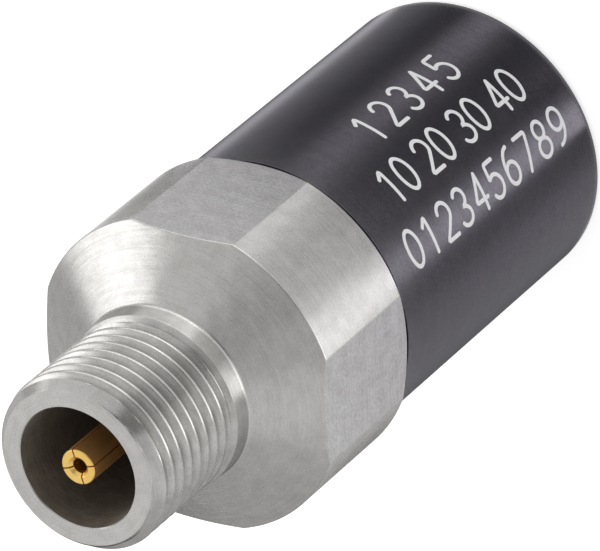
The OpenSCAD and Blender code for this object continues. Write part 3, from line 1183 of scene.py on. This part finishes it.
@dataclass
class InnerParts:
    """The pieces inside the load, whose own meshes stay and only get their finish.

    Attributes:
        replaced: Nodes that a piece of this script replaces.
        finishes: Finishes that have the names of their slots.
    """

    replaced: tuple[str, ...] = ("connector_body", "centre_contact", "sleeve")
    finishes: tuple[MetalFinish | PlainFinish, ...] = (
        PLATED, BRASS, SPRING, SHEET, BEAD, CERAMIC, SEAL, PAD)

    def dress(self, groups: Groups) -> None:
        """Gives each node the material of its slot.

        Args:
            groups: The shared node groups by name.
        """
        materials = {finish.name: finish.build(groups) for finish in self.finishes}
        materials["stainless_steel"] = STEEL_INSIDE.build(groups)
        materials["black_anodised"] = ANODISED_PLUG.build(groups)
        for part in frame["record"]["subparts"]:
            node, slot = part["node"], part["material_slot"]
            if node in self.replaced:
                continue
            data = frame["nodes"][node].data
            data.materials.clear()
            data.materials.append(materials[slot])
            LOG.info("%s: %s", node, slot)


# The studio

def direction(azimuth: float, elevation: float) -> np.ndarray:
    """Unit vector from the load: (cos e cos a, cos e sin a, sin e)."""
    turn, rise = np.radians([azimuth, elevation])
    return np.array([np.cos(rise) * np.cos(turn), np.cos(rise) * np.sin(turn), np.sin(rise)])


def bare_material(name: str) -> tuple[Material, Tree, Node]:
    """Starts a material with no node but its output.

    Args:
        name: Name of the material.

    Returns:
        The material, its tree and its output node.
    """
    material, tree, _ = new_material(name)
    tree.nodes.clear()
    return material, tree, add_node(tree, "ShaderNodeOutputMaterial", {})


def stage_sheet(name: str, points: np.ndarray, material: Material, gloss_only: bool = True) -> Piece:
    """Adds a sheet of studio equipment.

    Args:
        name: Name of the sheet.
        points: Its grid, of shape (rows, columns, 3).
        material: Its material.
        gloss_only: Whether it shows in reflections only.

    Returns:
        The sheet.
    """
    shell = Shell()
    shell.add_grid(points)
    piece = shell.build(name, [material], closed=False)
    if gloss_only:
        for ray in ("camera", "diffuse", "shadow", "transmission"):
            setattr(piece, f"visible_{ray}", False)
    return piece


@dataclass(frozen=True)
class BandCard:
    """A graded card that lies on the table beside the load.

    Only the load's gloss sees it. It covers the patch of table that the camera sees mirrored in an
    upright round wall, so each of its stops shows there as an upright band.

    Attributes:
        wall_r: Radius of the wall.
        near: Distance from the wall at which the card starts.
        far: Distance from the wall at which it ends.
        stops: Angle from the left edge of the view, 0 to 180, and brightness, where 1 is white.
        height: Height above the table.
    """

    name: str
    wall_r: float
    near: float
    far: float
    stops: tuple[tuple[float, float], ...]
    tint: Colour = (1.0, 1.0, 1.0)
    height: float = 0.15
    rows: int = 12
    columns: int = 93

    def surface(self, azimuth: float) -> np.ndarray:
        """Points of the card: p(a, t) = R (cos a, sin a) + t (cos b, sin b), with b = 2a - azimuth.

        Args:
            azimuth: Direction of the camera about the axis.

        Returns:
            Points of shape (rows, columns, 3).
        """
        view_angle = np.linspace(self.stops[0][0], self.stops[-1][0], self.columns)
        reach = np.geomspace(self.near, self.far, self.rows)
        angle, reach = np.meshgrid(azimuth + 90.0 - view_angle, reach)
        turn = np.radians(angle)
        away = np.radians(2 * angle - azimuth)
        x = self.wall_r * np.cos(turn) + reach * np.cos(away)
        y = self.wall_r * np.sin(turn) + reach * np.sin(away)
        return np.stack([x, y, np.full_like(x, self.height)], -1)

    def material(self) -> Material:
        """Glow that follows the stops across the card.

        Returns:
            The new material.
        """
        material, tree, out = bare_material(self.name)
        uv = add_node(tree, "ShaderNodeUVMap", {}, uv_map=SURFACE_MAP)
        split = add_node(tree, "ShaderNodeSeparateXYZ", {0: uv.outputs[0]})
        ramp = add_node(tree, "ShaderNodeValToRGB", {0: split.outputs[0]})
        angles, levels = zip(*self.stops)
        peak = max(levels)
        elements = ramp.color_ramp.elements
        for angle in angles[1:-1]:
            elements.new((angle - angles[0]) / (angles[-1] - angles[0]))
        for element, level in zip(elements, levels):
            element.color = (*(level / peak * part for part in self.tint), 1.0)
        glow = add_node(tree, "ShaderNodeEmission", {"Color": ramp.outputs[0], "Strength": peak})
        feed(tree, out, {"Surface": glow.outputs[0]})
        return material

    def build(self, azimuth: float) -> Piece:
        """Lays the card on the table, for a camera at the given azimuth."""
        return stage_sheet(self.name, self.surface(azimuth), self.material())


@dataclass(frozen=True)
class Hung:
    """What hangs round the load and faces it, where azimuth and elevation are its direction from there."""

    name: str
    azimuth: float
    elevation: float
    distance: float

    @property
    def away(self) -> np.ndarray:
        """Direction from the load."""
        return direction(self.azimuth, self.elevation)


@dataclass(frozen=True)
class Flag(Hung):
    """A flat panel, seen by gloss only. Its level is its brightness, where 1 is white."""

    half_w: float
    half_h: float
    level: float

    def build(self, target: np.ndarray) -> Piece:
        """Hangs the panel square to the line from the load.

        Args:
            target: The point that it faces.

        Returns:
            The panel.
        """
        level = direction(self.azimuth + 90, 0)
        upright = np.cross(self.away, level)
        across, up = np.meshgrid([-self.half_w, 0, self.half_w], [-self.half_h, 0, self.half_h])
        middle = target + self.away * self.distance
        points = middle + across[..., None] * level + up[..., None] * upright
        material, tree, out = bare_material(self.name)
        glow = add_node(tree, "ShaderNodeEmission", {"Strength": self.level})
        feed(tree, out, {"Surface": glow.outputs[0]})
        return stage_sheet(self.name, points, material)


def aim(piece: Piece, position: np.ndarray, forward: np.ndarray, roll: float = 0.0) -> None:
    """Adds a lamp or camera to the scene and points its -Z along a direction.

    Args:
        piece: The lamp or camera.
        position: Its place in millimetres.
        forward: Direction of view, of length 1.
        roll: Turn about the direction of view, from the level position.
    """
    bpy.context.scene.collection.objects.link(piece)
    level = np.cross(forward, [0.0, 0.0, 1.0])
    level /= np.linalg.norm(level)
    turn = np.radians(roll)
    right = np.cos(turn) * level + np.sin(turn) * np.cross(level, forward)
    matrix = np.eye(4)
    matrix[:3] = np.stack([right, np.cross(right, forward), -forward, position * MM], 1)
    piece.matrix_world = Matrix(matrix.tolist())


@dataclass(frozen=True)
class SoftBox(Hung):
    """A square lamp. Its size is its side, and its radiance its face's brightness, where 1 is white."""

    size: float
    radiance: float

    def build(self, target: np.ndarray) -> Piece:
        """Hangs the lamp; its power is radiance * pi * area for a face of even brightness.

        Args:
            target: The point that it faces.

        Returns:
            The lamp.
        """
        lamp = bpy.data.lights.new(self.name, "AREA")
        lamp.shape = "SQUARE"
        lamp.size = self.size * MM
        lamp.energy = self.radiance * np.pi * (self.size * MM) ** 2
        piece = bpy.data.objects.new(self.name, lamp)
        aim(piece, target + self.away * self.distance, -self.away)
        return piece


@dataclass(frozen=True)
class ViewPoint:
    """The camera, at the photograph's place and angle.

    Attributes:
        azimuth: Direction from the load to the camera, about the vertical.
        elevation: The same, above the table.
        roll: Turn of the camera about its line of sight.
        focal_px: Focal length, in pixels of a frame that is frame_w_px wide.
        clip: Distances in metres between which the camera sees.
    """

    azimuth: float = -43.6
    elevation: float = 48.24
    roll: float = -130.15
    position: tuple[float, float, float] = (182.43, -173.49, 298.67)
    focal_px: float = 7526.1
    frame_w_px: float = 600.0
    sensor: float = 36.0
    clip: tuple[float, float] = (0.01, 20.0)

    def build(self) -> Piece:
        """Makes the camera and sets it as the scene's own.

        Returns:
            The camera.
        """
        data = bpy.data.cameras.new("camera")
        data.sensor_fit = "HORIZONTAL"
        data.sensor_width = self.sensor
        data.lens = self.focal_px / self.frame_w_px * self.sensor
        data.clip_start, data.clip_end = self.clip
        camera = bpy.data.objects.new("camera", data)
        aim(camera, np.array(self.position), -direction(self.azimuth, self.elevation), self.roll)
        bpy.context.scene.camera = camera
        return camera


@dataclass
class Studio:
    """Pale table, pale world, soft boxes and cards round the load.

    Attributes:
        view: The camera.
        middle: The point that lamps and panels face.
        table_glow: Brightness that the table adds for camera, gloss and clear rays.
        top_level: Brightness of the world overhead.
        near_level: Brightness of the world low down on the camera's side.
        far_level: The same, on the other side.
        camera_glow: Brightness of the world for camera and clear rays.
    """

    view: ViewPoint
    middle: tuple[float, float, float] = (0.0, 0.0, 30.0)
    table_size: float = 6000.0
    table_grey: float = 0.85
    table_glow: float = 0.6
    top_level: float = 0.6
    near_level: float = 1.1
    far_level: float = 0.54
    camera_glow: float = 1.0

    def table(self) -> None:
        """Lays the table. Camera, gloss and clear rays see it near white, and it keeps the shadow."""
        side = np.linspace(-self.table_size / 2, self.table_size / 2, 5)
        x, y = np.meshgrid(side, side)
        material, tree, out = bare_material("table")
        rays = add_node(tree, "ShaderNodeLightPath", {}).outputs
        clear = math_node(tree, "MAXIMUM", rays["Is Glossy Ray"], rays["Is Transmission Ray"])
        seen = math_node(tree, "MAXIMUM", rays["Is Camera Ray"], clear)
        strength = math_node(tree, "MULTIPLY", seen, self.table_glow)
        glow = add_node(tree, "ShaderNodeEmission", {"Strength": strength})
        matt = add_node(tree, "ShaderNodeBsdfDiffuse", {"Color": (self.table_grey,) * 3})
        both = add_node(tree, "ShaderNodeAddShader", {0: glow.outputs[0], 1: matt.outputs[0]})
        feed(tree, out, {"Surface": both.outputs[0]})
        stage_sheet("table", np.stack([x, y, np.zeros_like(x)], -1), material, gloss_only=False)

    def world(self) -> None:
        """Sets a pale world, brighter low down on the camera's side, which the camera sees as white.

        With f the direction's part towards the camera's side and z its part upwards, the level runs
        from the far level to the near level with f, and then on to the top level with z.
        """
        world = bpy.data.worlds.new("studio")
        bpy.context.scene.world = world
        world.use_nodes = True
        tree = world.node_tree
        way = add_node(tree, "ShaderNodeTexCoord", {}).outputs["Generated"]
        towards = {0: way, 1: tuple(direction(self.view.azimuth, 0))}
        front = add_node(tree, "ShaderNodeVectorMath", towards, operation="DOT_PRODUCT").outputs["Value"]
        upwards = add_node(tree, "ShaderNodeSeparateXYZ", {0: way}).outputs["Z"]
        side = soft_step(tree, front, (-0.7, 0.5), self.far_level, self.near_level)
        level = soft_step(tree, upwards, (0.1, 0.85), side, self.top_level)
        rays = add_node(tree, "ShaderNodeLightPath", {}).outputs
        seen = math_node(tree, "MAXIMUM", rays["Is Camera Ray"], rays["Is Transmission Ray"])
        gap = math_node(tree, "SUBTRACT", self.camera_glow, level)
        strength = math_node(tree, "MULTIPLY_ADD", seen, gap, level)
        feed(tree, tree.nodes["Background"], {"Color": (1.0, 1.0, 1.0), "Strength": strength})

    def bands(self) -> list[BandCard]:
        """The graded cards that the sleeve, the head, the thread and the nose mirror."""
        return [
            BandCard("sleeve_band", 7.95, 0.3, 18.5, (
                (-2, 0.1), (9, 0.1), (13, 0.7), (17, 1.1), (23, 0.4), (32, 0.34), (44, 0.18), (50, 0.2),
                (57, 0.75), (63, 0.87), (69, 0.4), (75, 0.22), (82, 0.24), (90, 0.35), (97, 0.27),
                (102, 0.6), (108, 1.85), (114, 1.9), (116.5, 0.34), (124, 0.4), (134, 0.62), (146, 0.55),
                (158, 0.38), (168, 0.2), (176, 0.18), (182, 0.16)), (1.0, 0.98, 1.05)),
            BandCard("head_band", 8.5, 18.5, 28.0, (
                (-2, 2.0), (5, 1.5), (10, 0.7), (15, 0.35), (29, 0.2), (35, 0.6), (46, 0.9), (56, 0.64),
                (62, 0.38), (65.5, 1.1), (70, 1.1), (76, 0.8), (82, 0.75), (92, 0.83), (98, 0.98),
                (104, 1.12), (110, 1.3), (117, 1.5), (119, 0.66), (130, 0.68), (146, 0.68), (158, 0.58),
                (166, 0.25), (174, 0.24), (182, 0.5))),
            BandCard("thread_band", 4.75, 28.0, 46.0, (
                (-2, 2.1), (10, 1.5), (28, 0.8), (33, 1.4), (37, 1.3), (42, 0.55), (54, 0.5), (62, 0.6),
                (70, 0.95), (76, 1.0), (82, 0.75), (92, 0.75), (98, 0.95), (104, 1.3), (112, 1.85),
                (117, 1.75), (122, 1.2), (132, 1.05), (150, 0.95), (165, 0.8), (182, 0.8))),
            BandCard("nose_band", 4.75, 46.0, 700.0, (
                (-2, 1.3), (4, 0.6), (20, 0.65), (33, 0.8), (37, 0.5), (41, 0.6), (45, 1.6), (58, 1.75),
                (66, 2.4), (74, 2.5), (78, 1.2), (88, 0.75), (96, 0.8), (101, 1.4), (108, 2.6),
                (114.5, 2.7), (118, 0.65), (130, 0.6), (142, 0.38), (155, 0.2), (168, 0.14), (182, 0.2))),
        ]

    def build(self) -> None:
        """Sets up the table, the world, the cards, the panels and the lamps."""
        self.table()
        self.world()
        azimuth, middle = self.view.azimuth, np.array(self.middle)
        for card in self.bands():
            card.build(azimuth)
        for hung in (
            Flag("camera_shade", azimuth, 43, 300, 70, 110, 0.2),
            Flag("left_shade", azimuth + 120, 7, 300, 50, 36, 0.25),
            SoftBox("left_box", azimuth + 125, 34, 500, 310, 1.5),
            SoftBox("left_fill", azimuth + 80, 57, 500, 300, 0.2),
            SoftBox("right_box", azimuth - 92, 52, 500, 260, 0.22),
            SoftBox("top_box", azimuth + 180, 50, 600, 300, 0.36),
        ):
            hung.build(middle)


def main() -> None:
    """Builds and dresses the load, then the studio and the camera."""
    logging.basicConfig(level=logging.INFO, format="%(message)s")
    bpy.context.scene.view_settings.view_transform = "Standard"
    groups = {"tool_marks": tool_marks_group(), "metal_grain": grain_group()}
    view = ViewPoint()
    view.build()
    steels = (STEEL, STEEL_FLAT, STEEL_BORE_PAINTED_SHADE, STEEL_THREAD_WITH_PAINTED_SHADE, STEEL_COLLAR)
    ConnectorBody(Thread()).build([steel.build(groups, on_map=True) for steel in steels])
    CentreContact().build(GOLD.build(groups, on_map=True), GOLD_BARREL_PAINTED_REFLECTION.build(groups, on_map=True))
    sleeve = Sleeve()
    sleeve.build(ANODISED.build(groups, on_map=True))
    left_edge = view.azimuth + 90
    rows = [
        ScaleRow("12345", 23.9, 1.85, left_edge - 70),
        ScaleRow("10 20 30 40", 21.4, 1.46, left_edge - 92),
        ScaleRow("0123456789", 20.1, 1.63, left_edge - 115),
    ]
    Numerals(sleeve.radius).build(rows, MARKING.build(groups))
    InnerParts().dress(groups)
    Studio(view).build()


if __name__ == "__main__":
    main()
